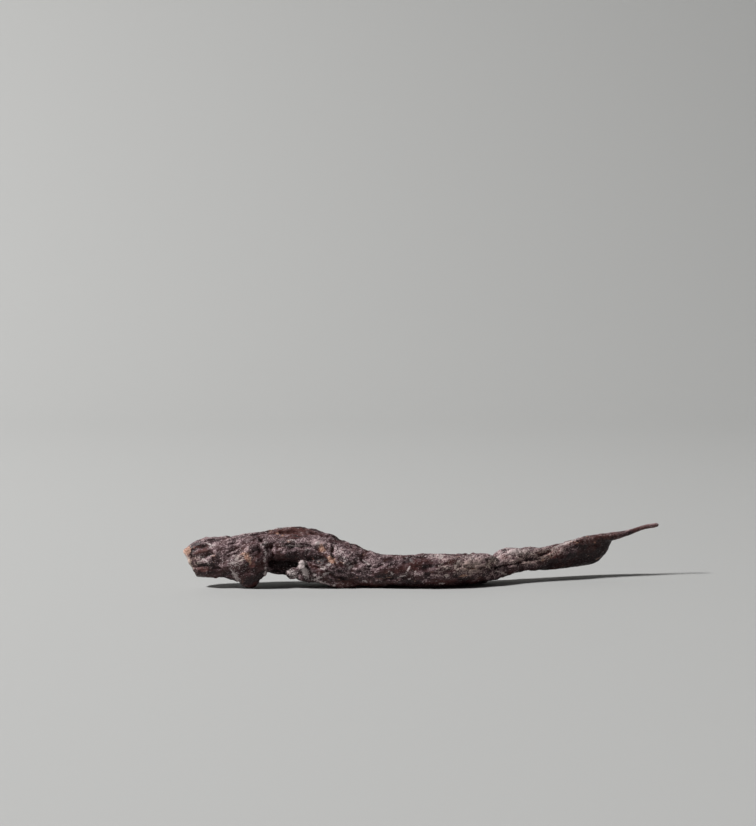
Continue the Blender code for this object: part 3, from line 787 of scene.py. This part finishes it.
def build_skin():
    skin = fused_strands()
    mesh = skin.data
    relax(mesh, round(2.0 * (BLEND / VOXEL) ** 2))
    smooth = read_points(mesh)
    normals = read_normals(mesh)
    places = fibre_coordinates(smooth)
    fine = np.abs(relief(places, FIBRES)) - FIBRE_FLOOR + relief(smooth, GRIT)
    fine *= np.interp(smooth[:, 0], FADE_X, FADE_SHARES) ** FINE_FADE
    moved = skin_relief(smooth, normals) + fine
    write_points(mesh, smooth + normals * moved[:, None])

    points = read_points(mesh)
    normals = read_normals(mesh)
    store(mesh, "fibre", places)
    # Ridges and swellings get more bloom and hollows less: partly bloom, partly painted shade in the
    # hollows.
    store(mesh, "ridge", prominence(mesh, normals, RIDGE_ROUNDS, RIDGE_HEIGHT))
    store(mesh, "swell", prominence(mesh, normals, SWELL_ROUNDS, SWELL_HEIGHT))
    # Faces that turn up get paler bloom, which is partly painted top light.
    store(mesh, "upward", np.minimum(normals[:, 2], TOP_SLOPE))
    store(mesh, "fat", patch_strengths(points, normals, FAT_PATCHES))
    store(mesh, "pale", patch_strengths(points, normals, PALE_PATCHES))
    store(mesh, "red", patch_strengths(points, normals, RED_PATCHES))
    store(mesh, "tan", patch_strengths(points, normals, TAN_PATCHES))
    dust_and_painted_light = patch_strengths(points, normals, DUST_AND_PAINTED_LIGHT_PATCHES)
    # The bloom's dust and painted light, less the bare places and the painted shade.
    store(mesh, "dust_and_painted_light", DUST_AND_LIGHT_SHARE * dust_and_painted_light - patch_strengths(points, normals, BARE_AND_PAINTED_SHADE_PATCHES))
    points, middle = settle(points)
    write_points(mesh, (points - middle) * MM)
    mesh.materials.clear()
    mesh.materials.append(meat_material())
    mesh.shade_smooth()
    return skin, middle


def feed(tree, value, socket):
    """Gives a node's input a fixed value, or the output of another node."""
    if isinstance(value, bpy.types.NodeSocket):
        tree.links.new(value, socket)
    else:
        socket.default_value = value


def stored(tree, name, output="Fac"):
    """What the mesh keeps for each point under this name."""
    node = tree.nodes.new("ShaderNodeAttribute")
    node.attribute_name = name
    return node.outputs[output]


def computed(tree, operation, *values):
    node = tree.nodes.new("ShaderNodeMath")
    node.operation = operation
    for value, socket in zip(values, node.inputs):
        feed(tree, value, socket)
    return node.outputs[0]


def product(tree, a, b):
    return computed(tree, "MULTIPLY", a, b)


def added(tree, base, value, share):
    """The base and this share of the value."""
    return computed(tree, "MULTIPLY_ADD", value, share, base)


def grain(tree, places, size, detail):
    """Noise from 0 to 1 over places in mm, with features of about this size in mm."""
    scaled = tree.nodes.new("ShaderNodeVectorMath")
    scaled.operation = "DIVIDE"
    feed(tree, places, scaled.inputs[0])
    scaled.inputs[1].default_value = size
    node = tree.nodes.new("ShaderNodeTexNoise")
    feed(tree, scaled.outputs[0], node.inputs["Vector"])
    node.inputs["Scale"].default_value = 1.0
    node.inputs["Detail"].default_value = detail
    return node.outputs["Fac"]


def ramp(tree, value, low, high):
    """0 below low, 1 above high, and a smooth step between them."""
    node = tree.nodes.new("ShaderNodeMapRange")
    node.interpolation_type = "SMOOTHSTEP"
    feed(tree, value, node.inputs["Value"])
    node.inputs["From Min"].default_value = low
    node.inputs["From Max"].default_value = high
    return node.outputs["Result"]


def mixed(tree, share, a, b):
    """The colour a, with this share of the colour b."""
    node = tree.nodes.new("ShaderNodeMix")
    node.data_type = "RGBA"
    feed(tree, share, node.inputs["Factor"])
    feed(tree, a, node.inputs["A"])
    feed(tree, b, node.inputs["B"])
    return node.outputs["Result"]


def patch(tree, name, edge_noise):
    """Where the patches of one kind show, broken up at their edges."""
    return ramp(tree, added(tree, stored(tree, name), edge_noise, EDGE_SHARE), *PATCH_RAMP)


def hairs(tree, places, frosted):
    """Thin curly lines in the bloom: where a noise is close to its middle value."""
    wave = grain(tree, places, HAIR_SIZE, SPECK_DETAIL)
    off_middle = computed(tree, "ABSOLUTE", computed(tree, "SUBTRACT", wave, 0.5))
    outside = ramp(tree, off_middle, HAIR_CORE * HAIR_HALF_WIDTH, HAIR_HALF_WIDTH)
    line = computed(tree, "SUBTRACT", 1.0, outside)
    return product(tree, line, ramp(tree, frosted, *HAIR_RAMP))


def bare_meat(tree, fibre, dust_and_painted_light):
    """Dark meat with warmer places."""
    warmth = added(tree, grain(tree, fibre, WARMTH_SIZE, WARMTH_DETAIL), dust_and_painted_light, DUST_AND_LIGHT_WARMTH)
    return mixed(tree, ramp(tree, warmth, *WARM_RAMP), DARK_MEAT, WARM_MEAT)


def frosting(tree, fibre, dust_and_painted_light):
    """How thick the bloom is: it gathers in clouds and clumps, is thicker on what stands out or faces
    up and thinner in hollows, which paints light and shade, and follows the patches of dust, painted
    light and painted shade.
    """
    total = product(tree, stored(tree, "swell"), SWELL_BLOOM_AND_SHADE_SHARE)
    total = added(tree, total, stored(tree, "ridge"), RIDGE_BLOOM_AND_SHADE_SHARE)
    total = added(tree, total, stored(tree, "upward"), UPWARD_PAINTED_LIGHT_SHARE)
    total = added(tree, total, grain(tree, fibre, CLOUD_SIZE, CLOUD_DETAIL), CLOUD_SHARE)
    total = added(tree, total, grain(tree, fibre, CLUMP_SIZE, CLOUD_DETAIL), CLUMP_SHARE)
    return added(tree, total, dust_and_painted_light, DUST_AND_LIGHT_BLOOM_SHARE)


def fat_layer(tree, fibre, mottle, pale, specks):
    """Where fat shows, in patches and small flecks, and its colour there."""
    flecks = ramp(tree, grain(tree, fibre, FLECK_SIZE, FLECK_DETAIL), *FLECK_RAMP)
    where = computed(tree, "MAXIMUM", patch(tree, "fat", mottle), product(tree, flecks, FLECK_COVER))
    creamy = ramp(tree, added(tree, specks, pale, PALE_CREAM), *CREAM_RAMP)
    return where, mixed(tree, creamy, FAT, CREAM)


def meat_material():
    """Bare meat under a haze of bloom that carries painted light and shade, red places, pale hairs and
    specks, pale patches and fat.
    """
    material = bpy.data.materials.new(SLOT)
    material.use_nodes = True
    tree = material.node_tree
    shader = tree.nodes["Principled BSDF"]
    fibre = stored(tree, "fibre", "Vector")
    dust_and_painted_light = stored(tree, "dust_and_painted_light")
    tan = stored(tree, "tan")
    mottle = grain(tree, fibre, MOTTLE_SIZE, CLOUD_DETAIL)
    specks = grain(tree, fibre, SPECK_SIZE, SPECK_DETAIL)
    frosted = frosting(tree, fibre, dust_and_painted_light)
    frost = mixed(tree, tan, FROST, TAN_FROST)

    haze = ramp(tree, added(tree, frosted, mottle, MOTTLE_SHARE), *HAZE_RAMP)
    speckle = ramp(tree, added(tree, specks, frosted, CLUSTERING), *SPECKLE_RAMP)
    speckle_cover = added(tree, SPECKLE_COVER, dust_and_painted_light, DUST_AND_LIGHT_COVER)
    pale = patch(tree, "pale", specks)
    fat, fat_colour = fat_layer(tree, fibre, mottle, pale, specks)
    layers = [
        (haze, HAZE_COVER, BLOOM),
        (patch(tree, "red", mottle), RED_COVER, RED_MEAT),
        (hairs(tree, fibre, frosted), HAIR_COVER, frost),
        (speckle, speckle_cover, frost),
        (pale, PALE_COVER, mixed(tree, tan, WHITE, TAN_FROST)),
        (fat, FAT_COVER, fat_colour),
    ]
    colour = bare_meat(tree, fibre, dust_and_painted_light)
    for where, cover, above in layers:
        colour = mixed(tree, product(tree, where, cover), colour, above)
    tree.links.new(colour, shader.inputs["Base Color"])

    dull = added(tree, added(tree, BARE_ROUGHNESS, haze, HAZE_ROUGHNESS), pale, PALE_ROUGHNESS)
    tree.links.new(dull, shader.inputs["Roughness"])
    shine = added(tree, BARE_SHINE, ramp(tree, specks, *GLINT_RAMP), GLINT_SHINE)
    tree.links.new(shine, shader.inputs["Specular IOR Level"])

    bumps = tree.nodes.new("ShaderNodeBump")
    bumps.inputs["Distance"].default_value = BUMP_HEIGHT * MM
    bumps.inputs["Strength"].default_value = BUMP_STRENGTH
    tree.links.new(added(tree, mottle, specks, SPECK_BUMP), bumps.inputs["Height"])
    tree.links.new(bumps.outputs["Normal"], shader.inputs["Normal"])
    return material


def plain_material(name, colour, roughness):
    material = bpy.data.materials.new(name)
    material.use_nodes = True
    shader = material.node_tree.nodes["Principled BSDF"]
    shader.inputs["Base Color"].default_value = colour
    shader.inputs["Roughness"].default_value = roughness
    return material


def add_floor():
    """A pale floor that curves up into a backdrop of the same colour, with no edge in between."""
    turn = np.linspace(0.0, 0.5 * np.pi, SWEEP_STEPS)
    curve_y = SWEEP_START + SWEEP_RADIUS * np.sin(turn)
    curve_z = SWEEP_RADIUS * (1.0 - np.cos(turn))
    y = np.concatenate([[-FLOOR_REACH], curve_y, curve_y[-1:]])
    z = np.concatenate([[0.0], curve_z, [BACKDROP_TOP]])
    points = [(x, y[i], z[i]) for x in (-FLOOR_REACH, FLOOR_REACH) for i in range(len(y))]
    rows = len(y)
    faces = [[i, i + rows, i + rows + 1, i + 1] for i in range(rows - 1)]
    floor = new_object("floor", np.array(points) * MM, faces)
    floor.data.materials.append(plain_material("pale_floor", FLOOR_COLOUR, FLOOR_ROUGHNESS))
    floor.data.shade_smooth()


def add_light(name, way, size, power):
    lamp = bpy.data.lights.new(name, "AREA")
    lamp.shape = "DISK"
    lamp.size = size
    lamp.energy = power
    light = bpy.data.objects.new(name, lamp)
    direction = Vector(way).normalized()
    light.location = direction * LIGHT_DISTANCE
    light.rotation_euler = direction.to_track_quat("Z", "Y").to_euler()
    bpy.context.scene.collection.objects.link(light)


def add_sky():
    world = bpy.data.worlds.new("soft_sky")
    world.use_nodes = True
    background = world.node_tree.nodes["Background"]
    background.inputs["Color"].default_value = SKY
    background.inputs["Strength"].default_value = SKY_STRENGTH
    bpy.context.scene.world = world


def add_camera(middle):
    """Looks at the strip from the photograph's viewpoint, once the strip's middle is the origin."""
    data = bpy.data.cameras.new("camera")
    data.lens = LENS
    data.sensor_width = SENSOR
    camera = bpy.data.objects.new("camera", data)
    drop = np.arctan(AIM_BELOW / (LENS / SENSOR * IMAGE_LONG))
    camera.location = (Vector(VIEWPOINT) - Vector(middle)) * MM
    camera.rotation_euler = (0.5 * np.pi - np.radians(ELEVATION) + drop, 0.0, 0.0)
    bpy.context.scene.collection.objects.link(camera)
    bpy.context.scene.camera = camera


def main():
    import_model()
    skin, middle = build_skin()
    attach(skin, "root")
    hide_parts(NODE)
    add_floor()
    add_light("key", *KEY_LIGHT)
    add_light("fill", *FILL_LIGHT)
    add_sky()
    add_camera(middle)
    bpy.context.scene.view_settings.view_transform = "Standard"


main()
